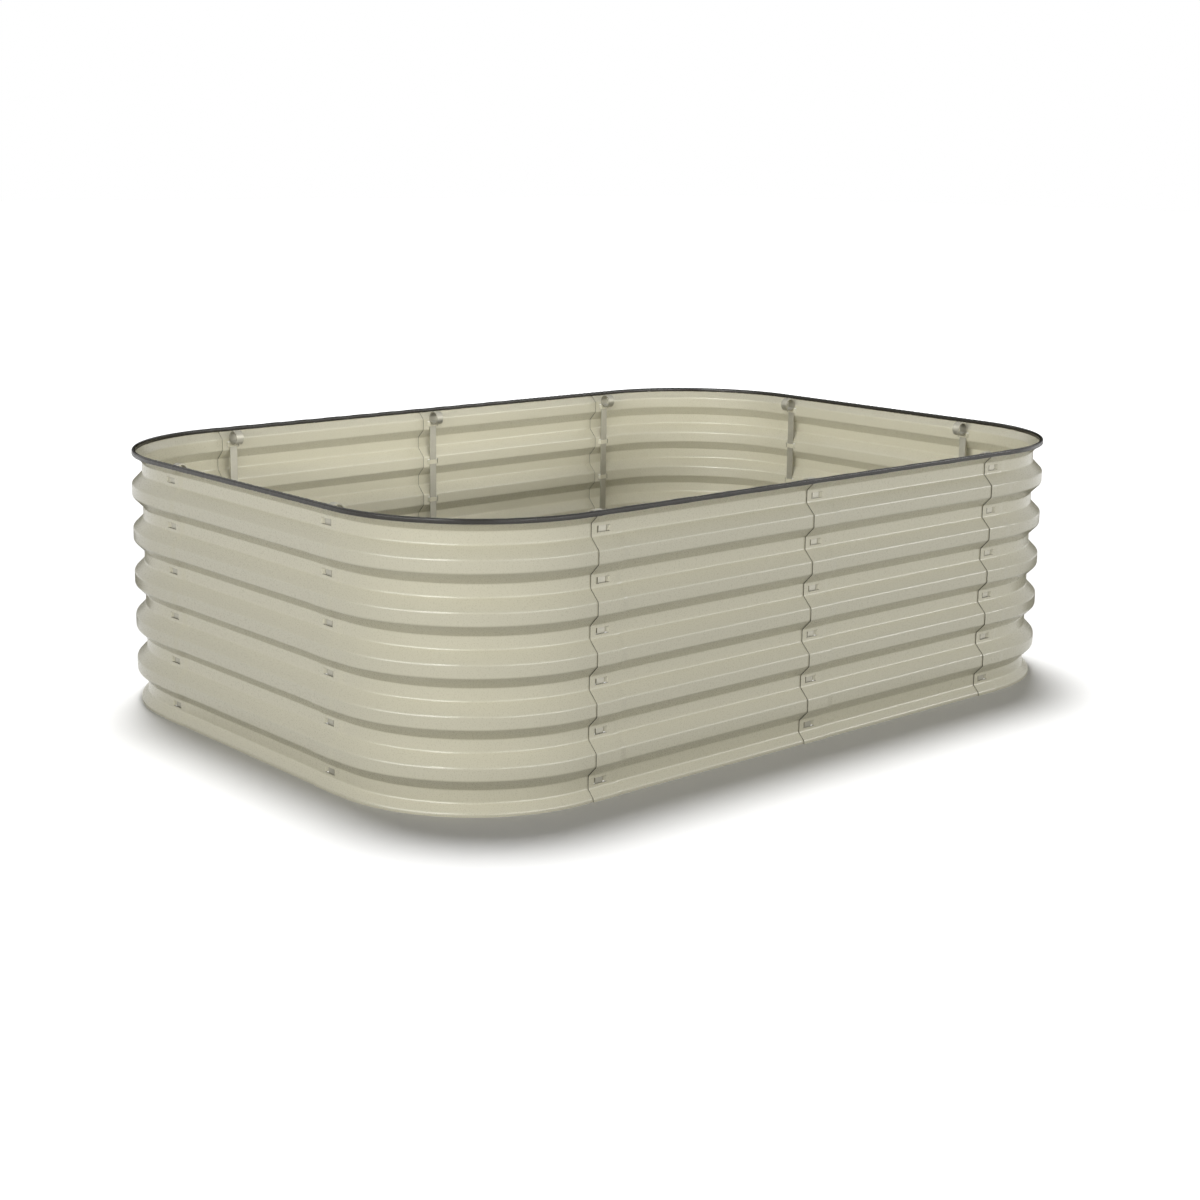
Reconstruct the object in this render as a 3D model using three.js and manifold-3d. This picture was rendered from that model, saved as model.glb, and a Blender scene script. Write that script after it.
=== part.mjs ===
// Raised garden bed of corrugated, painted steel, put together without tools.
//
// Ten wall panels stand in a rounded rectangle, open at the top and at the bottom: four
// quarter-round corners and six straight panels. Going round the bed anticlockwise, seen from
// above, each panel's first edge laps over the outside of the panel before it. In every groove
// of that lap a strap, cut and pressed inwards from the outer panel, passes through a window of
// the inner panel. A flat locking strip slides down through all the straps of a seam, and its
// top is rolled into a ring to pull it out by. A rubber trim of U section sits on the rim.
//
// Millimetres, +Z up, origin on the ground in the middle of the bed, long side along X and the
// front along -Y. Every piece is drawn in the frame of its own seam: +X runs on along the wall,
// anticlockwise round the bed, and +Y points into the bed. Y = 0 is the middle of the steel at
// the bottom of the grooves.

import * as THREE from 'three';
import { mergeVertices } from 'three/addons/utils/BufferGeometryUtils.js';
import Module from 'manifold-3d';

const wasm = await Module();
wasm.setup();

// ---- driving dimensions -------------------------------------------------------------------

// the plan of the bed
const PANEL_PITCH = 457.2; // from seam to seam on a straight panel
const CORNER_RADIUS = 247; // of the corner, at the bottom of the grooves
const CORNER_STEPS = 8; // flats that stand for a quarter round

// the corrugated wall, seen in section
const SHEET = 0.8; // steel thickness
const GROOVES = 6;
const GROOVE_PITCH = 76.2; // from groove to groove
const GROOVE_FLAT = 20.6; // height of the flat at the bottom of a groove
const RIDGE_FLAT = 20; // height of the flat on a ridge
const RIDGE_DEPTH = 17.5; // how far a ridge stands out from a groove
const RIM_OUT = 13; // how far the rim stands out from a groove
const RIM_RISE = 12; // height of the slope under the rim
const RIM_LIP = 6.5; // upright edge that the trim sits on
const BASE_OUT = 12; // how far the bottom edge stands out from a groove
const BASE_RISE = 12; // height of the slope above the bottom edge
const BASE_LIP = 5; // upright edge that stands on the ground

// the lap of two panels
const LEAD_IN = 23; // from the outer panel's first edge to the middle of the seam
const TAIL = 22; // from the middle of the seam to the inner panel's last edge
const TAIL_GAP = 1.5; // between the last edge and the step that clears it
const STEP_RUN = 15; // length of the step out of the outer panel
const LAP_GAP = 0.3; // between the two sheets, square to the slopes

// straps and windows
const STRAP_HEIGHT = 8.8;
const STRAP_FLAT = 16; // length of the strap's flat middle
const STRAP_RUN = 5; // length of the slope at each end of a strap
const STRAP_ROOT = 1; // how far the strap's ends run into the panel
const SLIT = 0.5; // cut above and below a strap
const WINDOW_LENGTH = 26; // of the inner panel's window

// locking strips
const STRIP_WIDTH = 15;
const STRIP_THICKNESS = 2;
const STRIP_GAP = 0.3; // from the strip to the inner panel, and to the strap
const STRIP_FOOT = 10; // height of the strip's lower end above the ground
const FOOT_TAPER = 5; // how far the lower corners are cut back
const RING_DIAMETER = 26; // outside
const RING_SWEEP = 324; // degrees that the steel is rolled through
const RING_STEPS = 12; // flats that stand for the rolled part
const RING_SEAT_GAP = 0.3; // from the ring to the top strap

// rubber trim on the rim
const TRIM_WALL = 1.5;
const TRIM_SIDE_GAP = 0.3; // from the trim's legs to the lapped sheets
const TRIM_SEAT_GAP = 0.3; // from the trim's bridge to the rim
const TRIM_OUTER_LEG = 6.3; // below the rim
const TRIM_INNER_LEG = 5.6; // below the rim
const TRIM_BUTT_GAP = 0.6; // between the trim's two ends

// the panels and seams, going round the bed anticlockwise from the front left
const SIDES = [
  {
    panels: ['front_left', 'front_right'],
    seams: ['front_left', 'front_middle', 'front_right'],
    corner: 'front_right',
  },
  {
    panels: ['right'],
    seams: ['right_front', 'right_back'],
    corner: 'back_right',
  },
  {
    panels: ['back_right', 'back_left'],
    seams: ['back_right', 'back_middle', 'back_left'],
    corner: 'back_left',
  },
  {
    panels: ['left'],
    seams: ['left_back', 'left_front'],
    corner: 'front_left',
  },
];

const PAINT_COLOUR = 0xcdc8b2;
const ZINC_COLOUR = 0xa8a595;
const RUBBER_COLOUR = 0x24221d;

// ---- sizes that follow ----------------------------------------------------------------------

const QUARTER = Math.PI / 2;
const SLOPE_RISE = (GROOVE_PITCH - GROOVE_FLAT - RIDGE_FLAT) / 2;
const FIRST_GROOVE = BASE_LIP + BASE_RISE;
const GROOVES_TOP = FIRST_GROOVE + (GROOVES - 1) * GROOVE_PITCH + GROOVE_FLAT;
const RIM_HEIGHT = GROOVES_TOP + RIM_RISE + RIM_LIP;

// the outer sheet stands out by this much, so that LAP_GAP is left on the flattest slope
const FLATTEST_SLOPE = Math.max(RIDGE_DEPTH / SLOPE_RISE, RIM_OUT / RIM_RISE, BASE_OUT / BASE_RISE);
const LAP = (SHEET + LAP_GAP) * Math.hypot(1, FLATTEST_SLOPE);
const CORNER_STRAIGHT = TAIL + TAIL_GAP + STEP_RUN;
const CORNER_REACH = CORNER_STRAIGHT + CORNER_RADIUS;

// half the distance between the outermost seams of a long side, and of a short one
const [LONG_SIDE, SHORT_SIDE] = SIDES;
const HALF_LONG_RUN = (LONG_SIDE.panels.length * PANEL_PITCH) / 2;
const HALF_SHORT_RUN = (SHORT_SIDE.panels.length * PANEL_PITCH) / 2;

const STRIP_FACE = SHEET / 2 + STRIP_GAP;
const STRIP_BACK = STRIP_FACE + STRIP_THICKNESS;
const STRAP_MIDDLE = STRIP_BACK + STRIP_GAP + SHEET / 2;
const STRAP_LENGTH = STRAP_FLAT + 2 * STRAP_RUN;
const WINDOW_HEIGHT = STRAP_HEIGHT + 2 * SLIT;
const CUT_DEPTH = 2 * (LAP + SHEET);

// height of the middle of each groove, where the straps and windows are
const grooveHeights = Array.from(
  { length: GROOVES },
  (_, i) => FIRST_GROOVE + GROOVE_FLAT / 2 + i * GROOVE_PITCH,
);

// ---- shaping tools --------------------------------------------------------------------------

// Moves a line of points sideways by a distance, with mitred corners.
function offsetLine(points, distance) {
  return points.map((point, i) => {
    const before = points[Math.max(i - 1, 0)];
    const after = points[Math.min(i + 1, points.length - 1)];
    const arriving = (i > 0 ? point.clone().sub(before) : after.clone().sub(point)).normalize();
    const leaving = (i < points.length - 1 ? after.clone().sub(point) : arriving.clone()).normalize();
    const side = arriving.clone().add(leaving).normalize();
    const stretch = distance / side.dot(arriving);
    return new THREE.Vector2(point.x + side.y * stretch, point.y - side.x * stretch);
  });
}

// The closed outline of a sheet whose middle runs along a line of points.
function sheetOutline(points, thickness) {
  const right = offsetLine(points, thickness / 2);
  const left = offsetLine(points, -thickness / 2);
  return [...right, ...left.reverse()];
}

// Lofts a section along the wall. Each station has its place and heading in the ground plane,
// and an outward step. The section's x points out of the bed, and its y points up.
function loftAlongWall(section, stations) {
  const positions = [];
  for (const { x, y, heading, step = 0 } of stations) {
    for (const point of section) {
      const out = point.x + step;
      positions.push(x + Math.sin(heading) * out, y - Math.cos(heading) * out, point.y);
    }
  }
  const count = section.length;
  const index = [];
  for (let i = 0; i < stations.length - 1; i += 1) {
    for (let j = 0; j < count; j += 1) {
      const here = i * count + j;
      const above = i * count + ((j + 1) % count);
      index.push(here, here + count, above + count, here, above + count, above);
    }
  }
  const last = (stations.length - 1) * count;
  for (const [a, b, c] of THREE.ShapeUtils.triangulateShape(section, [])) {
    index.push(a, b, c, last + c, last + b, last + a);
  }
  const geometry = new THREE.BufferGeometry();
  geometry.setAttribute('position', new THREE.Float32BufferAttribute(positions, 3));
  geometry.setIndex(index);
  return geometry;
}

function toSolid(geometry) {
  geometry.deleteAttribute('normal');
  geometry.deleteAttribute('uv');
  const merged = mergeVertices(geometry, 1e-4);
  return new wasm.Manifold(
    new wasm.Mesh({
      numProp: 3,
      vertProperties: new Float32Array(merged.attributes.position.array),
      triVerts: new Uint32Array(merged.index.array),
    }),
  );
}

function toGeometry(solid) {
  const { vertProperties, triVerts } = solid.getMesh();
  const geometry = new THREE.BufferGeometry();
  geometry.setAttribute('position', new THREE.BufferAttribute(vertProperties, 3));
  geometry.setIndex(new THREE.BufferAttribute(triVerts, 1));
  return geometry;
}

// Extrudes an outline drawn in the plan of the wall (along, into the bed) upwards.
function extrudeUp(outline, height) {
  return new THREE.ExtrudeGeometry(new THREE.Shape(outline), { depth: height, bevelEnabled: false });
}

// ---- walls ----------------------------------------------------------------------------------

// The middle of the steel from the ground to the rim: (out of the bed, height).
function wallLine() {
  const line = [new THREE.Vector2(BASE_OUT, 0), new THREE.Vector2(BASE_OUT, BASE_LIP)];
  for (let i = 0; i < GROOVES; i += 1) {
    const foot = FIRST_GROOVE + i * GROOVE_PITCH;
    const head = foot + GROOVE_FLAT;
    line.push(new THREE.Vector2(0, foot), new THREE.Vector2(0, head));
    if (i < GROOVES - 1) {
      line.push(new THREE.Vector2(RIDGE_DEPTH, head + SLOPE_RISE));
      line.push(new THREE.Vector2(RIDGE_DEPTH, head + SLOPE_RISE + RIDGE_FLAT));
    }
  }
  line.push(new THREE.Vector2(RIM_OUT, GROOVES_TOP + RIM_RISE), new THREE.Vector2(RIM_OUT, RIM_HEIGHT));
  return line;
}

// Stations of a panel's first edge, with the lap stepped out and the step back in.
function leadStations() {
  return [
    { x: -LEAD_IN, y: 0, heading: 0, step: LAP },
    { x: TAIL + TAIL_GAP, y: 0, heading: 0, step: LAP },
    { x: CORNER_STRAIGHT, y: 0, heading: 0 },
  ];
}

// Stations round a quarter turn to the left that starts straight on at (x, y).
function quarterStations(x, y, heading) {
  return Array.from({ length: CORNER_STEPS + 1 }, (_, i) => {
    const turn = heading + (QUARTER * i) / CORNER_STEPS;
    return {
      x: x + CORNER_RADIUS * (Math.sin(turn) - Math.sin(heading)),
      y: y + CORNER_RADIUS * (Math.cos(heading) - Math.cos(turn)),
      heading: turn,
    };
  });
}

// One strap of the outer panel, centred on the seam at a height.
function strapSolid(height) {
  const line = [
    new THREE.Vector2(-STRAP_LENGTH / 2 - STRAP_ROOT, -LAP),
    new THREE.Vector2(-STRAP_LENGTH / 2, -LAP),
    new THREE.Vector2(-STRAP_FLAT / 2, STRAP_MIDDLE),
    new THREE.Vector2(STRAP_FLAT / 2, STRAP_MIDDLE),
    new THREE.Vector2(STRAP_LENGTH / 2, -LAP),
    new THREE.Vector2(STRAP_LENGTH / 2 + STRAP_ROOT, -LAP),
  ];
  const strap = extrudeUp(sheetOutline(line, SHEET), STRAP_HEIGHT);
  strap.translate(0, 0, height - STRAP_HEIGHT / 2);
  return toSolid(strap);
}

// A cutter for one window, centred on a seam whose frame is given by a matrix.
function windowSolid(length, height, seam) {
  const box = new THREE.BoxGeometry(length, CUT_DEPTH, WINDOW_HEIGHT);
  box.translate(0, 0, height);
  box.applyMatrix4(seam);
  return toSolid(box);
}

// A wall panel from its stations. The first seam is at the origin, and the last one has the
// frame of the matrix lastSeam.
function wallPanel(stations, lastSeam) {
  let solid = toSolid(loftAlongWall(sheetOutline(wallLine(), SHEET), stations));
  const firstSeam = new THREE.Matrix4();
  for (const height of grooveHeights) {
    solid = solid.subtract(windowSolid(STRAP_LENGTH, height, firstSeam));
    solid = solid.add(strapSolid(height));
    solid = solid.subtract(windowSolid(WINDOW_LENGTH, height, lastSeam));
  }
  return toGeometry(solid);
}

function straightPanel() {
  const stations = [...leadStations(), { x: PANEL_PITCH + TAIL, y: 0, heading: 0 }];
  return wallPanel(stations, new THREE.Matrix4().makeTranslation(PANEL_PITCH, 0, 0));
}

function cornerPanel() {
  const [edge, stepStart] = leadStations();
  const stations = [
    edge,
    stepStart,
    ...quarterStations(CORNER_STRAIGHT, 0, 0),
    { x: CORNER_REACH, y: CORNER_REACH + TAIL, heading: QUARTER },
  ];
  const lastSeam = new THREE.Matrix4().makeRotationZ(QUARTER).setPosition(CORNER_REACH, CORNER_REACH, 0);
  return wallPanel(stations, lastSeam);
}

// ---- locking strips ---------------------------------------------------------------------------

// The strip and its ring seen from the end of the wall: x points into the bed, and y up. The
// ring stands on the upper inner corner of the top strap.
function stripProfile() {
  const outer = RING_DIAMETER / 2;
  const inner = outer - STRIP_THICKNESS;
  const centre = STRIP_FACE + outer;
  const strapCorner = STRAP_MIDDLE + SHEET / 2;
  const strapTop = grooveHeights[GROOVES - 1] + STRAP_HEIGHT / 2;
  const rise = Math.sqrt((outer + RING_SEAT_GAP) ** 2 - (centre - strapCorner) ** 2);
  const ringHeight = strapTop + rise;
  const end = Math.PI - THREE.MathUtils.degToRad(RING_SWEEP);
  const profile = new THREE.Shape();
  profile.moveTo(STRIP_BACK, STRIP_FOOT);
  profile.lineTo(STRIP_BACK, ringHeight);
  profile.absarc(centre, ringHeight, inner, Math.PI, end, true);
  profile.absarc(centre, ringHeight, outer, end, Math.PI, false);
  profile.lineTo(STRIP_FACE, STRIP_FOOT);
  profile.closePath();
  return profile;
}

function lockingStrip() {
  const profile = stripProfile();
  const rolled = new THREE.ExtrudeGeometry(profile, {
    depth: STRIP_WIDTH,
    curveSegments: RING_STEPS,
    bevelEnabled: false,
  });
  rolled.translate(0, 0, -STRIP_WIDTH / 2);
  const upright = new THREE.Matrix4().makeBasis(
    new THREE.Vector3(0, 1, 0),
    new THREE.Vector3(0, 0, 1),
    new THREE.Vector3(1, 0, 0),
  );
  rolled.applyMatrix4(upright);

  // the strip seen square on, with its lower corners cut back, and higher than the rim
  const half = STRIP_WIDTH / 2 + STRIP_GAP;
  const tip = STRIP_WIDTH / 2 - FOOT_TAPER;
  const front = new THREE.Shape([
    new THREE.Vector2(-tip, STRIP_FOOT - STRIP_GAP),
    new THREE.Vector2(tip, STRIP_FOOT - STRIP_GAP),
    new THREE.Vector2(half, STRIP_FOOT + FOOT_TAPER),
    new THREE.Vector2(half, RIM_HEIGHT + RING_DIAMETER),
    new THREE.Vector2(-half, RIM_HEIGHT + RING_DIAMETER),
    new THREE.Vector2(-half, STRIP_FOOT + FOOT_TAPER),
  ]);
  const blank = new THREE.ExtrudeGeometry(front, { depth: 2 * RING_DIAMETER, bevelEnabled: false });
  blank.rotateX(QUARTER);
  blank.translate(0, 2 * RING_DIAMETER - STRIP_GAP, 0);
  return toGeometry(toSolid(rolled).intersect(toSolid(blank)));
}

// ---- rim trim ---------------------------------------------------------------------------------

// U section of the rubber, open at the bottom: (out of the bed, height). Its channel takes the
// lapped sheets of a seam.
function trimSection() {
  const innerFace = RIM_OUT - SHEET / 2 - TRIM_SIDE_GAP;
  const outerFace = RIM_OUT + LAP + SHEET / 2 + TRIM_SIDE_GAP;
  const seat = RIM_HEIGHT + TRIM_SEAT_GAP;
  return [
    new THREE.Vector2(outerFace + TRIM_WALL, RIM_HEIGHT - TRIM_OUTER_LEG),
    new THREE.Vector2(outerFace + TRIM_WALL, seat + TRIM_WALL),
    new THREE.Vector2(innerFace - TRIM_WALL, seat + TRIM_WALL),
    new THREE.Vector2(innerFace - TRIM_WALL, RIM_HEIGHT - TRIM_INNER_LEG),
    new THREE.Vector2(innerFace, RIM_HEIGHT - TRIM_INNER_LEG),
    new THREE.Vector2(innerFace, seat),
    new THREE.Vector2(outerFace, seat),
    new THREE.Vector2(outerFace, RIM_HEIGHT - TRIM_OUTER_LEG),
  ];
}

// The trim runs round the whole rim, and its two ends meet in the middle of the right-hand back
// panel. It is drawn in the frame of the bed.
function rimTrim() {
  const halfLong = HALF_LONG_RUN + CORNER_STRAIGHT;
  const halfShort = HALF_SHORT_RUN + CORNER_STRAIGHT;
  const front = -halfShort - CORNER_RADIUS;
  const right = halfLong + CORNER_RADIUS;
  const joint = HALF_LONG_RUN - PANEL_PITCH / 2;
  const stations = [
    { x: joint - TRIM_BUTT_GAP / 2, y: -front, heading: 2 * QUARTER },
    ...quarterStations(-halfLong, -front, 2 * QUARTER),
    ...quarterStations(-right, -halfShort, 3 * QUARTER),
    ...quarterStations(halfLong, front, 0),
    ...quarterStations(right, halfShort, QUARTER),
    { x: joint + TRIM_BUTT_GAP / 2, y: -front, heading: 2 * QUARTER },
  ];
  return loftAlongWall(trimSection(), stations);
}

// ---- finishes ---------------------------------------------------------------------------------

function paintedSteel() {
  return new THREE.MeshStandardMaterial({ color: PAINT_COLOUR, roughness: 0.45, metalness: 0.1 });
}

function galvanisedSteel() {
  return new THREE.MeshStandardMaterial({ color: ZINC_COLOUR, roughness: 0.4, metalness: 0.8 });
}

function blackRubber() {
  return new THREE.MeshStandardMaterial({ color: RUBBER_COLOUR, roughness: 0.8, metalness: 0 });
}

// ---- the bed ----------------------------------------------------------------------------------

function namedMesh(name, geometry, material) {
  const mesh = new THREE.Mesh(geometry, material);
  mesh.name = name;
  return mesh;
}

// Puts a piece drawn in its seam's frame at that seam.
function placeAtSeam(mesh, seam) {
  mesh.position.set(seam.x, seam.y, 0);
  mesh.rotation.z = seam.heading;
  return mesh;
}

// Moves a seam's frame on by a distance along the wall and a distance into the bed.
function moveOn(seam, along, inwards) {
  seam.x += along * Math.cos(seam.heading) - inwards * Math.sin(seam.heading);
  seam.y += along * Math.sin(seam.heading) + inwards * Math.cos(seam.heading);
}

// Walks round the bed from seam to seam and sets up every panel and strip.
function walls() {
  const group = new THREE.Group();
  const seam = { x: -HALF_LONG_RUN, y: -HALF_SHORT_RUN - CORNER_REACH, heading: 0 };
  for (const { panels, seams, corner } of SIDES) {
    seams.forEach((place, i) => {
      const strip = namedMesh(`locking_strip_${place}`, lockingStrip(), galvanisedSteel());
      group.add(placeAtSeam(strip, seam));
      if (i < panels.length) {
        const panel = namedMesh(`panel_${panels[i]}`, straightPanel(), paintedSteel());
        group.add(placeAtSeam(panel, seam));
        moveOn(seam, PANEL_PITCH, 0);
      } else {
        const panel = namedMesh(`corner_${corner}`, cornerPanel(), paintedSteel());
        group.add(placeAtSeam(panel, seam));
        moveOn(seam, CORNER_REACH, CORNER_REACH);
        seam.heading += QUARTER;
      }
    });
  }
  return group;
}

const bed = new THREE.Group();
bed.add(walls(), namedMesh('rim_trim', rimTrim(), blackRubber()));

export default bed;
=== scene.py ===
"""A raised garden bed of lapped, corrugated steel panels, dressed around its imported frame.

Ten painted wall panels stand in a rounded rectangle. Going round the bed anticlockwise, seen
from above, each panel's first edge laps over the outside of the panel before it. In every
groove of that lap a strap, pressed inwards from the outer sheet, passes through a window of the
inner sheet, and a zinc-coated strip with a rolled ring slides down through the straps of the
seam. A ribbed rubber trim of U section sits on the rim.

Metres, +Z up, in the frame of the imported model. A panel or strip is modelled in the frame of
its seam: +X runs on along the wall, anticlockwise round the bed, +Y points into the bed, and
Y = 0 is the middle of the steel at the bottom of the grooves.
"""

from __future__ import annotations

import logging
import math
from collections.abc import Callable, Iterable
from dataclasses import dataclass, field
from enum import Enum
from typing import ClassVar

import bmesh
import bpy
from mathutils import Matrix, Vector


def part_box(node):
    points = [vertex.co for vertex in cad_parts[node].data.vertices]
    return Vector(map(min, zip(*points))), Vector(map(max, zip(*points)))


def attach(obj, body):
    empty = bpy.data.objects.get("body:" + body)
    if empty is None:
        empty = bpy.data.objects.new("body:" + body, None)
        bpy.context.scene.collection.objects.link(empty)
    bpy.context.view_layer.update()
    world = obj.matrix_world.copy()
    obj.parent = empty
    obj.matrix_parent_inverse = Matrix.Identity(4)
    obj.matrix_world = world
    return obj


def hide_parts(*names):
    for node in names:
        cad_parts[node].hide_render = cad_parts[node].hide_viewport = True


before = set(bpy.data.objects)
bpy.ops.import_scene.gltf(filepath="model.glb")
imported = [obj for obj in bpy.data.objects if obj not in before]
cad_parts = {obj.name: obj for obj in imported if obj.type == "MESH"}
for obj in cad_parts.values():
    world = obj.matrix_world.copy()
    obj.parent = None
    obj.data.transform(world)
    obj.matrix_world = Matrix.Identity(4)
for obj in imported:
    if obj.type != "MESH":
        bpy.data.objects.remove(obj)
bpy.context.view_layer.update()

log = logging.getLogger("raised_bed")

MM = 0.001
NEAR = 0.02 * MM  # places closer together than this are one place
QUARTER = math.pi / 2
FLAT = math.radians(1)  # faces that meet at less than this are one flat
MEAN = 0.5  # of a noise that runs from 0 to 1
AS_WRITTEN = math.pi  # watts per square metre that show a colour as it is written
UP = Vector((0, 0, 1))
BED = "bed"  # the body that the walls and the trim ride on

Test = Callable[[Vector], bool]
Triple = tuple[float, float, float]
Colour = Triple


# ---- names ----------------------------------------------------------------------------------


class Slot(Enum):
    """Material slots of the record."""

    PAINT = "painted_steel"
    ZINC = "zinc_strip"
    RUBBER = "rubber_trim"


class Kind(Enum):
    """What a selection is made of."""

    POINTS = "VERT"
    EDGES = "EDGE"
    FACES = "FACE"


class Seam(Enum):
    """Seams in their order round the bed, each with the panel whose first edge laps there."""

    FRONT_LEFT = "panel_front_left"
    FRONT_MIDDLE = "panel_front_right"
    FRONT_RIGHT = "corner_front_right"
    RIGHT_FRONT = "panel_right"
    RIGHT_BACK = "corner_back_right"
    BACK_RIGHT = "panel_back_right"
    BACK_MIDDLE = "panel_back_left"
    BACK_LEFT = "corner_back_left"
    LEFT_BACK = "panel_left"
    LEFT_FRONT = "corner_front_left"

    @property
    def place(self) -> str:
        """The seam's place round the bed, as the strips' names give it."""
        return self.name.lower()

    @property
    def strip(self) -> str:
        """The CAD node of the seam's locking strip."""
        return f"locking_strip_{self.place}"

    @property
    def heading(self) -> float:
        """The direction along the wall here, as a turn from +X."""
        return ("FRONT", "RIGHT", "BACK", "LEFT").index(self.name.split("_")[0]) * QUARTER

    def frame(self, strip_face: float) -> Matrix:
        """Gives the seam's own frame, worked out from where its strip stands.

        Args:
            strip_face: Distance from the middle of the steel to the strip's outer face.

        Returns:
            The matrix that takes the seam's frame into the frame of the bed.
        """
        low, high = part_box(self.strip)
        turn = Matrix.Rotation(self.heading, 4, "Z")
        inwards = turn @ Vector((0, 1, 0))
        half_depth = abs((high - low).dot(inwards)) / 2
        middle = (low + high) / 2
        origin = middle - inwards * (half_depth + strip_face)
        return Matrix.Translation((origin.x, origin.y, 0)) @ turn


# ---- shaping tools --------------------------------------------------------------------------


class Bench:
    """Holds one mesh in edit mode, and shapes it there as by hand."""

    def __init__(self, piece: bpy.types.Object) -> None:
        """Takes the piece to shape."""
        self.piece = piece

    def __enter__(self) -> Bench:
        """Starts work on the piece alone."""
        bpy.ops.object.select_all(action="DESELECT")
        self.piece.select_set(True)
        bpy.context.view_layer.objects.active = self.piece
        bpy.ops.object.mode_set(mode="EDIT")
        return self

    def __exit__(self, *problem: object) -> None:
        """Ends the work."""
        bpy.ops.object.mode_set(mode="OBJECT")

    def pick(self, kind: Kind, test: Test) -> None:
        """Selects only what passes a test.

        Args:
            kind: Points, edges or faces. Edges and faces are tested at their middle.
            test: Says of a place whether it is wanted.
        """
        bpy.ops.mesh.select_mode(type=kind.value)
        bpy.ops.mesh.select_all(action="DESELECT")
        mesh = bmesh.from_edit_mesh(self.piece.data)
        if kind is Kind.FACES:
            chosen = [face for face in mesh.faces if test(face.calc_center_median())]
        elif kind is Kind.EDGES:
            chosen = [
                edge for edge in mesh.edges if test((edge.verts[0].co + edge.verts[1].co) / 2)
            ]
        else:
            chosen = [point for point in mesh.verts if test(point.co)]
        if not chosen:
            raise ValueError(f"{self.piece.name}: nothing there to select")
        for part in chosen:
            part.select_set(True)
        mesh.select_flush_mode()
        bmesh.update_edit_mesh(self.piece.data)

    def pick_all(self) -> None:
        """Selects the whole mesh."""
        bpy.ops.mesh.select_all(action="SELECT")

    def cut(self, place: Vector, normal: Vector) -> None:
        """Cuts new edges right through the mesh along a plane at a place, square to its normal."""
        self.pick_all()
        bpy.ops.mesh.bisect(plane_co=place, plane_no=normal)

    def cut_levels(self, heights: Iterable[float]) -> None:
        """Cuts level edges at some heights."""
        for height in heights:
            self.cut(Vector((0, 0, height)), UP)

    def move(self, by: Vector) -> None:
        """Moves what is selected."""
        bpy.ops.transform.translate(value=by)

    def pull(self, by: Vector) -> None:
        """Extrudes what is selected in a straight line."""
        bpy.ops.mesh.extrude_region_move(TRANSFORM_OT_translate={"value": by})

    def turn(self, centre: Vector, axis: Vector, angle: float, steps: int) -> None:
        """Spins what is selected round an axis, anticlockwise seen against the axis."""
        bpy.ops.mesh.spin(steps=steps, angle=-angle, center=centre, axis=axis)

    def sink(self, depth: float) -> None:
        """Moves what is selected inwards, square to the surface."""
        bpy.ops.transform.shrink_fatten(value=-depth)

    def divide(self, count: int) -> None:
        """Divides every selected edge into a number of equal parts."""
        bpy.ops.mesh.subdivide(number_cuts=count - 1)

    def round_edges(self, offset: float, segments: int) -> None:
        """Rounds the selected edges."""
        bpy.ops.mesh.bevel(offset=offset, segments=segments, affect="EDGES", profile=0.5)

    def round_points(self, offset: float, segments: int) -> None:
        """Rounds the selected corners of an outline."""
        bpy.ops.mesh.bevel(offset=offset, segments=segments, affect="VERTICES", profile=0.5)

    def face_outwards(self) -> None:
        """Merges doubled points and turns every face outwards."""
        self.pick_all()
        bpy.ops.mesh.remove_doubles(threshold=NEAR)
        bpy.ops.mesh.normals_make_consistent(inside=False)


def upright_sheet(
    name: str, start: float, end: float, foot: float, head: float
) -> bpy.types.Object:
    """Adds a flat upright sheet that faces -Y, to start a piece from.

    Args:
        name: Name of the new object.
        start: Where it begins along X.
        end: Where it ends along X.
        foot: Height of its lower edge.
        head: Height of its upper edge.

    Returns:
        The sheet, with its place and size in its mesh.
    """
    bpy.ops.object.select_all(action="DESELECT")
    middle = ((start + end) / 2, 0, (foot + head) / 2)
    bpy.ops.mesh.primitive_plane_add(size=1, location=middle, rotation=(QUARTER, 0, 0))
    piece = bpy.context.object
    piece.name = piece.data.name = name
    piece.scale = (end - start, head - foot, 1)
    bpy.ops.object.transform_apply(location=True, rotation=True, scale=True)
    return piece


def apply_modifier(piece: bpy.types.Object, kind: str, **settings: object) -> None:
    """Adds a modifier to a piece and applies it.

    Args:
        piece: The object.
        kind: Blender's name of the modifier's type.
        **settings: The modifier's own settings.
    """
    bpy.ops.object.select_all(action="DESELECT")
    piece.select_set(True)
    bpy.context.view_layer.objects.active = piece
    modifier = piece.modifiers.new(kind.title(), kind)
    for setting, value in settings.items():
        setattr(modifier, setting, value)
    bpy.ops.object.modifier_apply(modifier=modifier.name)


def smooth(piece: bpy.types.Object, angle: float, flats: bool = True) -> None:
    """Shades a piece smoothly.

    Args:
        piece: The object.
        angle: Edges that are bent by more than this stay sharp.
        flats: Whether large flats beside small bends are to look flat.
    """
    bpy.ops.object.select_all(action="DESELECT")
    piece.select_set(True)
    bpy.context.view_layer.objects.active = piece
    bpy.ops.object.shade_smooth_by_angle(angle=angle)
    if flats:
        apply_modifier(piece, "WEIGHTED_NORMAL", keep_sharp=True, weight=50)


def copy_to(model: bpy.types.Object, name: str, place: Matrix) -> bpy.types.Object:
    """Copies a modelled piece, with a mesh of its own.

    Args:
        model: The modelled piece.
        name: Name of the copy.
        place: Takes the model's mesh to the copy's place.

    Returns:
        The copy, with its place in its mesh.
    """
    piece = model.copy()
    piece.data = model.data.copy()
    piece.name = piece.data.name = name
    bpy.context.scene.collection.objects.link(piece)
    piece.data.transform(place)
    return piece


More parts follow.
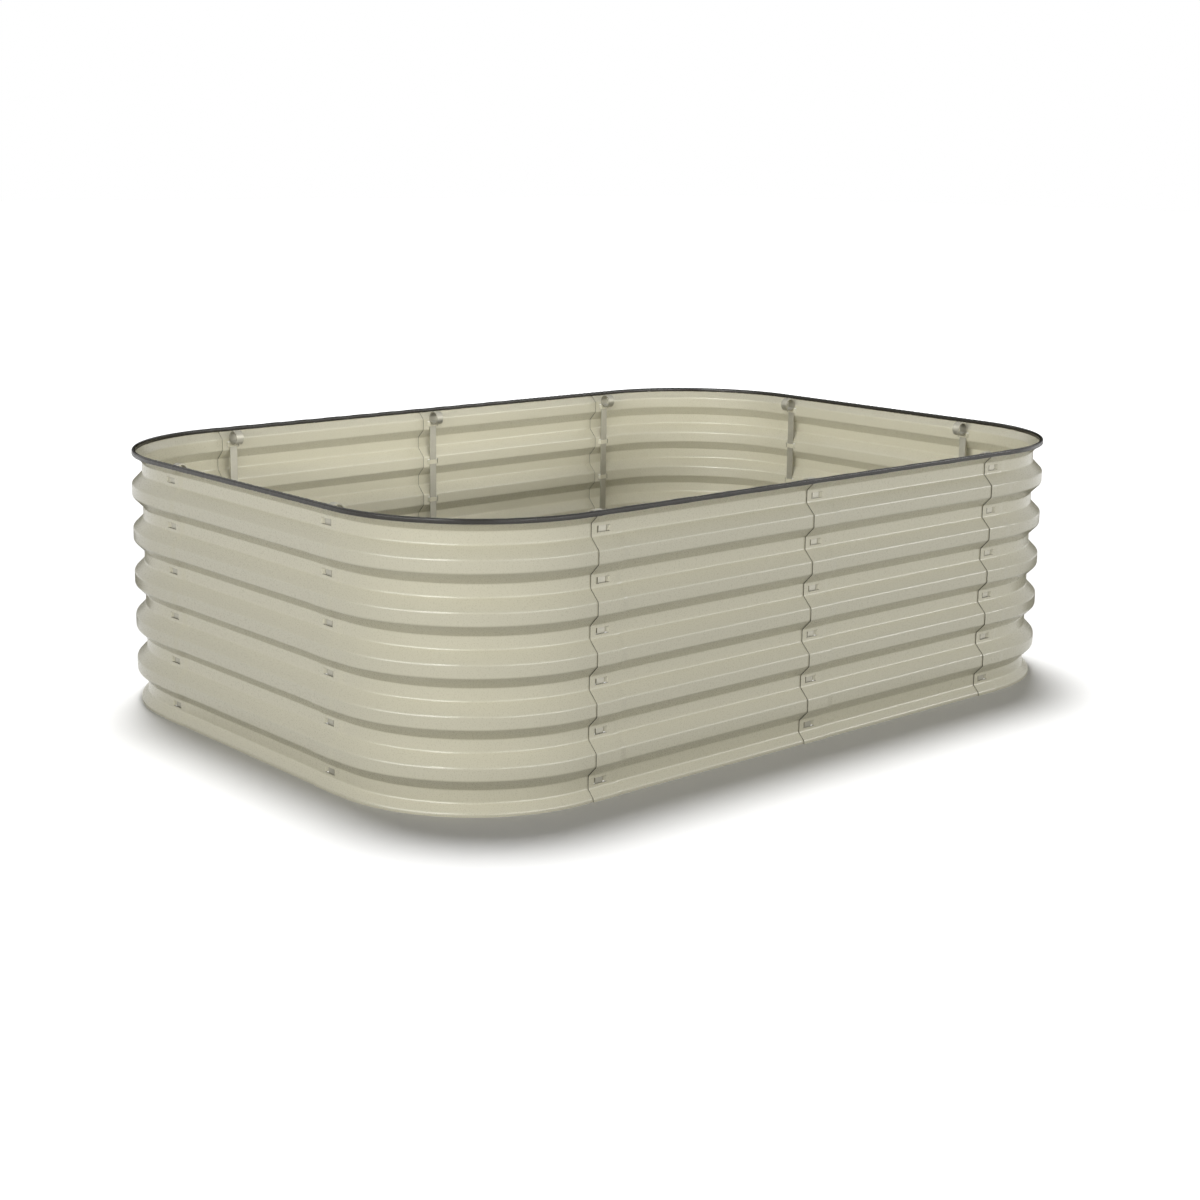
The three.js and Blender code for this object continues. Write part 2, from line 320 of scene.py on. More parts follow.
# ---- shader tools ---------------------------------------------------------------------------


class Value:
    """A number that a node gives, to reckon with in plain expressions."""

    def __init__(self, shader: Shader, socket: bpy.types.NodeSocket) -> None:
        """Takes the tree and the node's output."""
        self.shader = shader
        self.socket = socket

    def _math(self, operation: str, first: Input, second: Input) -> Value:
        """Adds a Math node."""
        node = self.shader.node("ShaderNodeMath", {"operation": operation}, {0: first, 1: second})
        return Value(self.shader, node.outputs[0])

    def __add__(self, other: Input) -> Value:
        """Adds."""
        return self._math("ADD", self, other)

    __radd__ = __add__

    def __sub__(self, other: Input) -> Value:
        """Subtracts."""
        return self._math("SUBTRACT", self, other)

    def __rsub__(self, other: Input) -> Value:
        """Subtracts this from the other."""
        return self._math("SUBTRACT", other, self)

    def __mul__(self, other: Input) -> Value:
        """Multiplies."""
        return self._math("MULTIPLY", self, other)

    __rmul__ = __mul__


Input = Value | bpy.types.NodeSocket | float | tuple[float, ...]


class Shader:
    """The node tree of one material or of the world."""

    def __init__(self, owner: bpy.types.Material | bpy.types.World) -> None:
        """Empties the owner's tree.

        Args:
            owner: The material or the world that has the tree.
        """
        owner.use_nodes = True
        self.tree = owner.node_tree
        self.tree.nodes.clear()

    def node(
        self,
        kind: str,
        settings: dict[str, object] | None = None,
        inputs: dict[str | int, Input] | None = None,
    ) -> bpy.types.Node:
        """Adds a node.

        Args:
            kind: The node's type.
            settings: Its own settings, set first. "stops" is a colour ramp's list of stops.
            inputs: Values or links of its sockets, by name or number.

        Returns:
            The node.
        """
        node = self.tree.nodes.new(kind)
        for name, value in (settings or {}).items():
            if name == "stops":
                self._set_stops(node.color_ramp, value)
            else:
                setattr(node, name, value)
        for name, value in (inputs or {}).items():
            source = value.socket if isinstance(value, Value) else value
            if isinstance(source, bpy.types.NodeSocket):
                self.tree.links.new(source, node.inputs[name])
            else:
                node.inputs[name].default_value = source
        return node

    @staticmethod
    def _set_stops(ramp: bpy.types.ColorRamp, stops: Iterable[tuple[float, float]]) -> None:
        """Sets the stops of a ramp.

        Args:
            ramp: The ramp.
            stops: Position and level of grey of each stop.
        """
        for i, (position, level) in enumerate(stops):
            stop = ramp.elements[i] if i < len(ramp.elements) else ramp.elements.new(position)
            stop.position = position
            stop.color = (level, level, level, 1)

    def object_place(self, factors: Triple = (1, 1, 1)) -> bpy.types.NodeSocket:
        """Gives Object coordinates.

        Args:
            factors: What they are multiplied by along each axis.

        Returns:
            The coordinates.
        """
        place = self.node("ShaderNodeTexCoord").outputs["Object"]
        mapping = self.node("ShaderNodeMapping", {}, {"Vector": place, "Scale": factors})
        return mapping.outputs["Vector"]

    def noise(self, place: bpy.types.NodeSocket, grain: float, detail: float = 2) -> Value:
        """Gives smooth noise from 0 to 1.

        Args:
            place: Coordinates.
            grain: Size of the noise's features, in metres.
            detail: How many finer layers it has.

        Returns:
            The noise's value.
        """
        inputs = {"Vector": place, "Scale": 1 / grain, "Detail": detail}
        return Value(self, self.node("ShaderNodeTexNoise", {}, inputs).outputs["Fac"])

    def ramp(self, value: Value, stops: Iterable[tuple[float, float]]) -> Value:
        """Sends a value through a ramp of greys."""
        node = self.node("ShaderNodeValToRGB", {"stops": list(stops)}, {"Fac": value})
        return Value(self, node.outputs["Color"])

    def blend(self, factor: Value, first: Colour, second: Colour) -> bpy.types.NodeSocket:
        """Mixes two colours.

        Args:
            factor: 0 gives the first colour, and 1 the second.
            first: One colour.
            second: The other colour.

        Returns:
            The mixed colour.
        """
        colour_a, colour_b, colour_out = 6, 7, 2  # numbers of the node's colour sockets
        inputs = {"Factor": factor, colour_a: (*first, 1), colour_b: (*second, 1)}
        return self.node("ShaderNodeMix", {"data_type": "RGBA"}, inputs).outputs[colour_out]

    def bump(self, height: Value, depth: float) -> bpy.types.NodeSocket:
        """Turns a height from 0 to 1 into a bumped normal.

        Args:
            height: The height.
            depth: What a height of 1 is, in metres.

        Returns:
            The normal.
        """
        inputs = {"Strength": 1.0, "Distance": depth, "Height": height}
        return self.node("ShaderNodeBump", {}, inputs).outputs["Normal"]

    def seen_directly(self) -> Value:
        """Tells what looks at a surface from what lights it.

        Returns:
            1 to the camera, gloss and glass, and 0 to light on its way between surfaces.
        """
        path = self.node("ShaderNodeLightPath").outputs
        shows = Value(self, path["Is Camera Ray"]) + Value(self, path["Is Glossy Ray"])
        return shows + Value(self, path["Is Transmission Ray"])

    def surface(self, inputs: dict[str | int, Input]) -> bpy.types.NodeSocket:
        """Adds the surface of a solid thing."""
        return self.node("ShaderNodeBsdfPrincipled", {}, inputs).outputs["BSDF"]

    def finish(
        self, surface: bpy.types.NodeSocket, output: str = "ShaderNodeOutputMaterial"
    ) -> None:
        """Ends the tree with what it shows."""
        self.node(output, {}, {"Surface": surface})


def new_shader(name: str) -> tuple[bpy.types.Material, Shader]:
    """Makes a material of this name, with an empty tree."""
    material = bpy.data.materials.new(name)
    return material, Shader(material)


def around(colour: Colour, factor: float) -> tuple[Colour, Colour]:
    """Gives a darker and a lighter colour around one colour.

    Args:
        colour: The colour between them.
        factor: How many times darker and lighter they are.

    Returns:
        The darker and the lighter colour.
    """
    darker = tuple(channel / factor for channel in colour)
    lighter = tuple(channel * factor for channel in colour)
    return darker, lighter


# ---- finishes -------------------------------------------------------------------------------


@dataclass(frozen=True)
class PowderCoat:
    """Semi-gloss pearl beige powder coat, with fine orange peel and faint pearl flecks."""

    colour: Colour = (0.575, 0.547, 0.415)
    fleck_size: float = 1.2 * MM
    fleck_spread: float = 1.012  # lighter and darker than the colour by this factor
    gloss: float = 0.8
    roughness: float = 0.28
    roughness_spread: float = 0.06
    peel_size: float = 1.6 * MM
    peel_depth: float = 0.012 * MM

    def build(self) -> bpy.types.Material:
        """Makes the finish.

        Returns:
            The material.
        """
        material, shader = new_shader("pearl_beige_powder_coat")
        place = shader.object_place()
        flecks = shader.noise(place, self.fleck_size, detail=1)
        peel = shader.noise(place, self.peel_size, detail=1)
        surface = shader.surface({
            "Base Color": shader.blend(flecks, *around(self.colour, self.fleck_spread)),
            "Roughness": self.roughness + self.roughness_spread * (peel - MEAN),
            "Specular IOR Level": self.gloss,
            "Normal": shader.bump(peel, self.peel_depth),
        })
        shader.finish(surface)
        return material


@dataclass(frozen=True)
class CutEdge:
    """Cut edges of the sheet, coloured near black: painted shade of the gaps between the lapped
    sheets and of the slits round the straps and windows.
    """

    # near black: painted shade of the gaps between lapped sheets and of the slits, on the cut edges
    colour: Colour = (0.035, 0.032, 0.026)
    spread: float = 1.2
    grain: float = 1.5 * MM
    roughness: float = 0.6

    def build(self) -> bpy.types.Material:
        """Makes the finish.

        Returns:
            The material.
        """
        material, shader = new_shader("cut_edge")
        grain = shader.noise(shader.object_place(), self.grain)
        colour = shader.blend(grain, *around(self.colour, self.spread))
        shader.finish(shader.surface({"Base Color": colour, "Roughness": self.roughness}))
        return material


@dataclass(frozen=True)
class ZincStrip:
    """Zinc-coated strip steel: dull, warm grey, with faint rolling lines and crystals."""

    colour: Colour = (0.40, 0.385, 0.32)
    crystal_size: float = 7 * MM
    crystal_spread: float = 1.05
    line_width: float = 0.5 * MM
    line_stretch: float = 60
    metal: float = 0.8  # the rest is its dull white bloom
    roughness: float = 0.5
    roughness_spread: float = 0.12  # between the rolling lines
    crystal_roughness: float = 0.08  # spread of roughness between the crystals
    line_depth: float = 0.01 * MM

    def build(self) -> bpy.types.Material:
        """Makes the finish.

        Returns:
            The material.
        """
        material, shader = new_shader("dull_zinc")
        place = shader.object_place()
        along = shader.object_place((1, 1, 1 / self.line_stretch))
        cells = {"Vector": place, "Scale": 1 / self.crystal_size}
        crystals = shader.node("ShaderNodeTexVoronoi", {}, cells).outputs["Color"]
        greys = shader.node("ShaderNodeRGBToBW", {}, {"Color": crystals})
        grey = Value(shader, greys.outputs["Val"])
        lines = shader.noise(along, self.line_width, detail=2)
        colour = shader.blend(grey, *around(self.colour, self.crystal_spread))
        roughness = self.roughness + self.roughness_spread * (lines - MEAN)
        roughness = roughness + self.crystal_roughness * (grey - MEAN)
        surface = shader.surface({
            "Base Color": colour,
            "Metallic": self.metal,
            "Roughness": roughness,
            "Normal": shader.bump(lines, self.line_depth),
        })
        shader.finish(surface)
        return material


@dataclass(frozen=True)
class BlackRubber:
    """Black extruded rubber with a low sheen, a faint grain and faint clouds of lighter black."""

    colour: Colour = (0.013, 0.011, 0.006)
    spread: float = 1.3
    cloud_size: float = 60 * MM
    grain: float = 0.9 * MM
    grain_depth: float = 0.05 * MM
    roughness: float = 0.24
    roughness_spread: float = 0.08
    gloss: float = 0.4

    def build(self) -> bpy.types.Material:
        """Makes the finish.

        Returns:
            The material.
        """
        material, shader = new_shader("black_rubber")
        place = shader.object_place()
        grain = shader.noise(place, self.grain, detail=3)
        clouds = shader.noise(place, self.cloud_size, detail=2)
        surface = shader.surface({
            "Base Color": shader.blend(clouds, *around(self.colour, self.spread)),
            "Roughness": self.roughness + self.roughness_spread * (grain - MEAN),
            "Normal": shader.bump(grain, self.grain_depth),
            "Specular IOR Level": self.gloss,
        })
        shader.finish(surface)
        return material


@dataclass(frozen=True)
class PaleFloor:
    """Matt floor: white to the camera, also far from the lamps, and darker as a source of
    bounced light."""

    seen: float = 0.95
    seen_far: float = 1.7
    near: float = 1.5  # metres from the middle of the bed, up to which it is seen at `seen`
    far: float = 8.0  # from where it is seen at `seen_far`
    bounce: float = 0.085

    def build(self) -> bpy.types.Material:
        """Makes the finish.

        Returns:
            The material.
        """
        material, shader = new_shader("pale_floor")
        place = shader.object_place()
        length = shader.node("ShaderNodeVectorMath", {"operation": "LENGTH"}, {0: place})
        away = Value(shader, length.outputs["Value"]) * (1 / self.far)
        farness = shader.ramp(away, ((self.near / self.far, 0), (1, 1)))
        seen = self.seen + (self.seen_far - self.seen) * farness
        colour = self.bounce + (seen - self.bounce) * shader.seen_directly()
        surface = shader.node("ShaderNodeBsdfDiffuse", {}, {"Color": colour}).outputs[0]
        shader.finish(surface)
        return material


@dataclass(frozen=True)
class BlackCloth:
    """Black velvet of the studio's dark cards."""

    colour: Colour = (0.004, 0.004, 0.004)

    def build(self) -> bpy.types.Material:
        """Makes the finish.

        Returns:
            The material.
        """
        material, shader = new_shader("black_velvet")
        surface = shader.node("ShaderNodeBsdfDiffuse", {}, {"Color": (*self.colour, 1)}).outputs[0]
        shader.finish(surface)
        return material


@dataclass(frozen=True)
class WhiteSurround:
    """World: a soft even light, that the camera, gloss and glass see as plain white."""

    light: float = 0.03
    seen: Colour = (1, 1, 1)

    def build(self) -> None:
        """Sets up the world."""
        world = bpy.data.worlds.new("white_surround")
        bpy.context.scene.world = world
        shader = Shader(world)
        colour = shader.blend(shader.seen_directly(), (self.light,) * 3, self.seen)
        surface = shader.node("ShaderNodeBackground", {}, {"Color": colour}).outputs[0]
        shader.finish(surface, "ShaderNodeOutputWorld")


# ---- walls ----------------------------------------------------------------------------------


@dataclass(frozen=True)
class Corrugation:
    """The wall seen in section."""

    sheet: float = 0.8 * MM
    grooves: int = 6
    pitch: float = 76.2 * MM
    groove_flat: float = 20.6 * MM
    ridge_flat: float = 20 * MM
    ridge_out: float = 17.5 * MM
    rim_out: float = 13 * MM
    rim_rise: float = 12 * MM
    rim_lip: float = 6.5 * MM
    base_out: float = 12 * MM
    base_rise: float = 12 * MM
    base_lip: float = 5 * MM
    bend_offset: float = 2.0 * MM  # from a bend's sharp corner to where its round begins
    bend_segments: int = 4

    @property
    def feet(self) -> list[float]:
        """Height of the lower end of each groove's flat."""
        return [self.base_lip + self.base_rise + i * self.pitch for i in range(self.grooves)]

    @property
    def middles(self) -> list[float]:
        """Height of the middle of each groove."""
        return [foot + self.groove_flat / 2 for foot in self.feet]

    @property
    def grooves_top(self) -> float:
        """Height of the upper end of the top groove's flat."""
        return self.feet[-1] + self.groove_flat

    @property
    def height(self) -> float:
        """Height of the rim."""
        return self.grooves_top + self.rim_rise + self.rim_lip

    @property
    def rise(self) -> float:
        """Height of the slope between a groove and a ridge."""
        return (self.pitch - self.groove_flat - self.ridge_flat) / 2

    @property
    def bends(self) -> list[tuple[float, float]]:
        """Lists every bend of the section.

        Returns:
            Height and outward place of each bend, from the ground up.
        """
        bends = [(self.base_lip, self.base_out)]
        for foot in self.feet:
            head = foot + self.groove_flat
            ridge = head + self.rise
            bends += [(foot, 0.0), (head, 0.0)]
            bends += [(ridge, self.ridge_out), (ridge + self.ridge_flat, self.ridge_out)]
        rim_bend = (self.grooves_top + self.rim_rise, self.rim_out)
        return [*bends[:-2], rim_bend]  # no ridge stands over the top groove

    @property
    def flattest_slope(self) -> float:
        """Compares the slopes of the section.

        Returns:
            How far the flattest one runs out for each metre that it rises.
        """
        return max(
            self.ridge_out / self.rise,
            self.rim_out / self.rim_rise,
            self.base_out / self.base_rise,
        )


@dataclass(frozen=True)
class Lap:
    """Where one panel's first edge laps over the last edge of the panel before it."""

    lead_in: float = 23 * MM  # from the outer panel's first edge to the middle of the seam
    tail: float = 22 * MM  # from the middle of the seam to the inner panel's last edge
    tail_gap: float = 1.5 * MM
    step_run: float = 15 * MM
    gap: float = 0.3 * MM  # between the sheets, square to the flattest slope
    step_shape: tuple[tuple[float, float], ...] = (
        (0.15, 0.94), (0.35, 0.72), (0.5, 0.5), (0.65, 0.28), (0.85, 0.06),
    )  # share of the run, and of the step
    strap_height: float = 8.8 * MM
    strap_flat: float = 16 * MM
    strap_run: float = 5 * MM  # length of the slope at each end of a strap
    strap_shape: tuple[tuple[float, float], ...] = (
        (0.1, 0.03), (0.25, 0.18), (0.75, 0.82), (0.9, 0.97),
    )  # share of the run, and of the depth
    slit: float = 0.5 * MM
    window_length: float = 26 * MM  # of the inner panel's window

    @property
    def straight(self) -> float:
        """From the middle of the seam to where the outer panel runs on in line."""
        return self.tail + self.tail_gap + self.step_run

    @property
    def strap_half(self) -> float:
        """Half the length of a strap with its slopes."""
        return self.strap_flat / 2 + self.strap_run

    @property
    def window_half_height(self) -> float:
        """Half the height of a window."""
        return self.strap_height / 2 + self.slit

    def step(self, wall: Corrugation) -> float:
        """How far the outer sheet stands out from the inner one."""
        return (wall.sheet + self.gap) * math.hypot(1, wall.flattest_slope)


@dataclass
class WallPanel:
    """A corrugated sheet from one seam to the next: stepped out, slit and pressed at its first
    edge to make the straps, and with a window in each groove near its last edge."""

    pitch: float  # along the wall from seam to seam, of a straight panel
    strap_middle: float  # how far inwards the middle of a strap's steel lies
    finish: bpy.types.Material
    # cut edges coloured near black, as painted shade of the gaps and slits
    edge_finish: bpy.types.Material
    wall: Corrugation = field(default_factory=Corrugation)
    lap: Lap = field(default_factory=Lap)
    smooth_angle: float = math.radians(32)

    name: ClassVar[str] = "straight_sheet"

    @property
    def first_length(self) -> float:
        """Where the first, straight stretch ends."""
        return self.pitch + self.lap.tail

    @property
    def last_seam(self) -> Matrix:
        """The frame of the panel's last seam, in the frame of its first."""
        return Matrix.Translation((self.pitch, 0, 0))

    def build(self) -> bpy.types.Object:
        """Models the panel in the frame of its first seam.

        Returns:
            The panel.
        """
        sheet = upright_sheet(self.name, -self.lap.lead_in, self.first_length, 0, self.wall.height)
        with Bench(sheet) as bench:
            self.bend(bench)
            self.run_on(bench)
            bench.cut_levels(
                middle + side * half
                for middle in self.wall.middles
                for half in (self.lap.strap_height / 2, self.lap.window_half_height)
                for side in (-1, 1)
            )
            self.step_out(bench)
            self.press_straps(bench)
            self.open_windows(bench)
            bench.face_outwards()
        # The second material colours the cut edges near black, as painted shade of the gaps and
        # slits.
        for material in (self.finish, self.edge_finish):
            sheet.data.materials.append(material)
        apply_modifier(
            sheet, "SOLIDIFY", thickness=self.wall.sheet, offset=0, use_even_offset=True,
            material_offset_rim=1,
        )
        smooth(sheet, self.smooth_angle)
        return sheet

    def bend(self, bench: Bench) -> None:
        """Bends the flat sheet into ridges and grooves.

        Args:
            bench: The work.
        """
        bends = self.wall.bends
        bench.cut_levels(height for height, _ in bends)
        places = [(0.0, self.wall.base_out), *bends, (self.wall.height, self.wall.rim_out)]
        for out in sorted({out for _, out in places if out > 0}):
            heights = [height for height, its_out in places if its_out == out]
            bench.pick(Kind.POINTS, lambda co: any(abs(co.z - height) < NEAR for height in heights))
            bench.move(Vector((0, -out, 0)))
        heights = [height for height, _ in bends]
        bench.pick(Kind.EDGES, lambda co: any(abs(co.z - height) < NEAR for height in heights))
        bench.round_edges(self.wall.bend_offset, self.wall.bend_segments)

    def run_on(self, bench: Bench) -> None:
        """Carries the section on past its first stretch. A straight panel has no more."""

    def cut_columns(self, bench: Bench, seam: Matrix, places: Iterable[float]) -> None:
        """Cuts upright edges at places along the wall, in a seam's frame."""
        for place in places:
            bench.cut(seam @ Vector((place, 0, 0)), seam.to_3x3() @ Vector((1, 0, 0)))

    def step_out(self, bench: Bench) -> None:
        """Steps the first edge out, so that it laps over the panel before.

        Args:
            bench: The work.
        """
        start = self.lap.straight - self.lap.step_run
        step = self.lap.step(self.wall)
        shares = [(0.0, 1.0), *self.lap.step_shape]
        for share, _ in [*shares, (1.0, 0.0)]:
            self.cut_columns(bench, Matrix(), [start + share * self.lap.step_run])
        for share, lift in shares[1:]:
            place = start + share * self.lap.step_run
            bench.pick(Kind.POINTS, lambda co: abs(co.x - place) < NEAR and co.y < place)
            bench.move(Vector((0, -step * lift, 0)))
        bench.pick(Kind.POINTS, lambda co: co.x < start + NEAR)
        bench.move(Vector((0, -step, 0)))

    def in_groove(self, height: float, half: float) -> bool:
        """Says if a height lies within a distance of the middle of a groove."""
        return any(abs(height - middle) < half for middle in self.wall.middles)

    def press_straps(self, bench: Bench) -> None:
        """Slits the outer sheet in every groove, and presses the strap between the slits inwards.

        Args:
            bench: The work.
        """
        lap = self.lap
        shape = [(0.0, 0.0), *lap.strap_shape, (1.0, 1.0)]
        places = [(lap.strap_half - share * lap.strap_run, depth) for share, depth in shape]
        self.cut_columns(bench, Matrix(), [side * place for place, _ in places for side in (-1, 1)])
        bench.pick(
            Kind.FACES,
            lambda co: abs(co.x) < lap.strap_half
            and self.in_groove(co.z, lap.window_half_height)
            and not self.in_groove(co.z, lap.strap_height / 2),
        )
        bpy.ops.mesh.delete(type="FACE")
        full = lap.step(self.wall) + self.strap_middle
        reach = lap.strap_height / 2 + NEAR
        for place, depth in places[1:]:
            bench.pick(
                Kind.POINTS,
                lambda co: abs(abs(co.x) - place) < NEAR and self.in_groove(co.z, reach),
            )
            bench.move(Vector((0, full * depth, 0)))

    def open_windows(self, bench: Bench) -> None:
        """Cuts a window in every groove near the last edge, for the next panel's straps.

        Args:
            bench: The work.
        """
        half = self.lap.window_length / 2
        seam = self.last_seam
        self.cut_columns(bench, seam, (-half, half))
        back = seam.inverted()
        bench.pick(
            Kind.FACES,
            lambda co: abs((back @ co).x) < half
            and abs((back @ co).y) < self.wall.ridge_out
            and self.in_groove(co.z, self.lap.window_half_height),
        )
        bpy.ops.mesh.delete(type="FACE")

    def dress(self, model: bpy.types.Object, seam: Seam, place: Matrix) -> bpy.types.Object:
        """Sets up one copy of the panel at its seam.

        Args:
            model: The modelled panel.
            seam: The seam of its first edge.
            place: The seam's frame.

        Returns:
            The copy.
        """
        piece = copy_to(model, f"sheet_{seam.value}", place)
        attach(piece, BED)
        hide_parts(seam.value)
        return piece


@dataclass
class CornerPanel(WallPanel):
    """A wall panel that runs round a quarter turn."""

    radius: float = 247 * MM  # at the bottom of the grooves
    turn_steps: int = 44

    name: ClassVar[str] = "corner_sheet"

    @property
    def first_length(self) -> float:
        """Where the first, straight stretch ends."""
        return self.lap.straight

    @property
    def reach(self) -> float:
        """From the first seam to the last, along either wall."""
        return self.lap.straight + self.radius

    @property
    def last_seam(self) -> Matrix:
        """The frame of the panel's last seam, in the frame of its first."""
        return Matrix.Translation((self.reach, self.reach, 0)) @ Matrix.Rotation(QUARTER, 4, "Z")

    def run_on(self, bench: Bench) -> None:
        """Carries the section round the quarter turn, and on to the last edge.

        Args:
            bench: The work.
        """
        start = self.first_length
        bench.pick(Kind.EDGES, lambda co: abs(co.x - start) < NEAR)
        bench.turn(Vector((start, self.radius, 0)), UP, QUARTER, self.turn_steps)
        bench.pull(Vector((0, self.lap.straight + self.lap.tail, 0)))


# ---- locking strips -------------------------------------------------------------------------


@dataclass
class LockingStrip:
    """A flat strip that slides down through the straps of a seam, rolled into a ring on top."""

    ring_height: float  # of the ring's centre
    foot: float
    width: float
    finish: bpy.types.Material
    face: float = 0.7 * MM  # from the middle of the steel to the strip
    thickness: float = 2 * MM
    strap_gap: float = 0.3 * MM  # to the straps that hold it
    ring_radius: float = 12 * MM  # to the middle of the rolled steel
    ring_sweep: float = math.radians(324)
    ring_steps: int = 40
    foot_taper: float = 5 * MM
    edge_round: float = 0.35 * MM
    edge_steps: int = 2
    edge_angle: float = math.radians(50)  # edges bent by more than this are rounded
    smooth_angle: float = math.radians(40)

    def build(self) -> bpy.types.Object:
        """Models the strip in the frame of its seam.

        Returns:
            The strip.
        """
        middle = self.face + self.thickness / 2
        half = self.width / 2
        strip = upright_sheet("strip", -half, half, self.foot, self.ring_height)
        with Bench(strip) as bench:
            bench.pick_all()
            bench.move(Vector((0, middle, 0)))
            bench.pick(Kind.POINTS, lambda co: co.z < self.foot + NEAR)
            bench.round_points(self.foot_taper, segments=1)
            bench.pick(Kind.EDGES, lambda co: co.z > self.ring_height - NEAR)
            centre = Vector((0, middle + self.ring_radius, self.ring_height))
            bench.turn(centre, Vector((-1, 0, 0)), self.ring_sweep, self.ring_steps)
            bench.face_outwards()
        apply_modifier(strip, "SOLIDIFY", thickness=self.thickness, offset=0, use_even_offset=True)
        apply_modifier(
            strip, "BEVEL", width=self.edge_round, segments=self.edge_steps, limit_method="ANGLE",
            angle_limit=self.edge_angle,
        )
        smooth(strip, self.smooth_angle)
        return strip

    def dress(self, model: bpy.types.Object, seam: Seam, place: Matrix) -> bpy.types.Object:
        """Sets up one copy of the strip at its seam.

        Args:
            model: The modelled strip.
            seam: The seam that it locks.
            place: The seam's frame.

        Returns:
            The copy.
        """
        piece = copy_to(model, f"rolled_strip_{seam.place}", place)
        piece.data.materials.append(self.finish)
        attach(piece, f"strip_{seam.place}")
        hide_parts(seam.strip)
        return piece


# ---- rim trim -------------------------------------------------------------------------------


@dataclass
class RimTrim:
    """A rubber trim of U section round the whole rim, with fine ribs across its outside."""

    half_long: float  # of the bed, to the bottom of the grooves
    half_short: float
    radius: float  # of the corners, at the bottom of the grooves
    top: float
    outer: float  # outward place of its outer face
    joint: float  # where its ends meet, along the back
    finish: bpy.types.Material
    width: float = 6.02 * MM  # across the section
    wall: float = 1.5 * MM
    outer_leg: float = 8.1 * MM  # whole height of the outer leg
    inner_leg: float = 7.4 * MM
    top_round: float = 2.8 * MM
    round_steps: int = 4
    butt_gap: float = 0.6 * MM
    rib_pitch: float = 3.4 * MM
    rib_depth: float = 0.4 * MM
    smooth_angle: float = math.radians(40)

    @property
    def inner(self) -> float:
        """Outward place of its inner face."""
        return self.outer - self.width

    @property
    def reach(self) -> float:
        """A distance from the bottom of the grooves that takes in the whole section."""
        return 2 * self.outer

    def section(self) -> bpy.types.Object:
        """Draws the U section where the trim starts, facing along the back wall.

        Returns:
            The section's outline, in the object that becomes the trim.
        """
        foot = self.top - self.outer_leg
        trim = upright_sheet("ribbed_trim", self.inner, self.outer, foot, self.top)
        channel = (self.inner + self.wall, self.outer - self.wall)
        inner_foot, seat = self.top - self.inner_leg, self.top - self.wall
        with Bench(trim) as bench:
            bench.cut_levels((inner_foot, seat))
            for place in channel:
                bench.cut(Vector((place, 0, 0)), Vector((1, 0, 0)))
            bench.pick(
                Kind.FACES,
                lambda co: co.z < inner_foot and co.x < channel[1]
                or co.z < seat and channel[0] < co.x < channel[1],
            )
            bpy.ops.mesh.delete(type="FACE")
            bench.pick_all()
            bpy.ops.mesh.dissolve_limited(angle_limit=FLAT)
            bench.pick(Kind.POINTS, lambda co: co.z > self.top - NEAR)
            bench.round_points(self.top_round, self.round_steps)
            bench.pick_all()
            bpy.ops.mesh.delete(type="ONLY_FACE")
        bpy.ops.object.select_all(action="DESELECT")
        trim.select_set(True)
        trim.rotation_euler.z = QUARTER
        trim.location = (self.joint - self.butt_gap / 2, self.half_short, 0)
        bpy.ops.object.transform_apply(location=True, rotation=True, scale=True)
        return trim

    def out_of(self, co: Vector) -> float:
        """Measures how far outwards a point lies.

        Args:
            co: The point.

        Returns:
            Its distance from the bottom of the grooves, positive outside the bed.
        """
        past_long = max(abs(co.x) - (self.half_long - self.radius), 0)
        past_short = max(abs(co.y) - (self.half_short - self.radius), 0)
        return math.hypot(past_long, past_short) - self.radius

    def on_skin(self, co: Vector) -> bool:
        """Says if a point is on the outside of the trim, and not in its channel."""
        in_channel = self.inner + self.wall - NEAR < self.out_of(co) < self.outer - self.wall + NEAR
        return not (in_channel and co.z < self.top - self.wall + NEAR)

    def rib(self, bench: Bench, station: Callable[[Vector], float | None]) -> None:
        """Sinks the skin between the ribs of one stretch.

        Args:
            bench: The work.
            station: Gives a point's place along the stretch, counted in half ribs, or None
                where the point isn't on it.
        """

        def between(co: Vector) -> bool:
            """Says if a point of the skin lies between two ribs."""
            place = station(co)
            return place is not None and round(place) % 2 == 1 and self.on_skin(co)

        bench.pick(Kind.POINTS, between)
        bench.sink(self.rib_depth)

    def run(self, bench: Bench, start: Vector, way: Vector, length: float) -> None:
        """Runs the selected section on in a straight stretch, and ribs it.

        Args:
            bench: The work.
            start: Where the stretch starts, at the bottom of the grooves.
            way: Its direction.
            length: Its length.
        """
        bench.pull(way * length)
        halves = 2 * round(length / self.rib_pitch)
        outwards = way.cross(UP)

        def station(co: Vector) -> float | None:
            """Counts half ribs along the stretch.

            Args:
                co: A point.

            Returns:
                Its place, or None where it isn't on the stretch.
            """
            along, out = (co - start).dot(way), (co - start).dot(outwards)
            on_it = NEAR < along < length - NEAR and abs(out) < self.reach
            return along / length * halves if on_it else None

        bench.pick(Kind.EDGES, lambda co: station(co) is not None)
        bench.divide(halves)
        self.rib(bench, station)

    def turn(self, bench: Bench, end: Vector, way: Vector) -> Vector:
        """Turns the section at the end of a stretch through a quarter, and ribs it.

        Args:
            bench: The work.
            end: Where the stretch ends, at the bottom of the grooves.
            way: Its direction.

        Returns:
            Where the next stretch starts.
        """
        outwards = way.cross(UP)
        centre = end - outwards * self.radius
        halves = 2 * round(QUARTER * (self.radius + self.outer) / self.rib_pitch)
        self.pick_end(bench, end, way)
        bench.turn(centre, UP, QUARTER, halves)

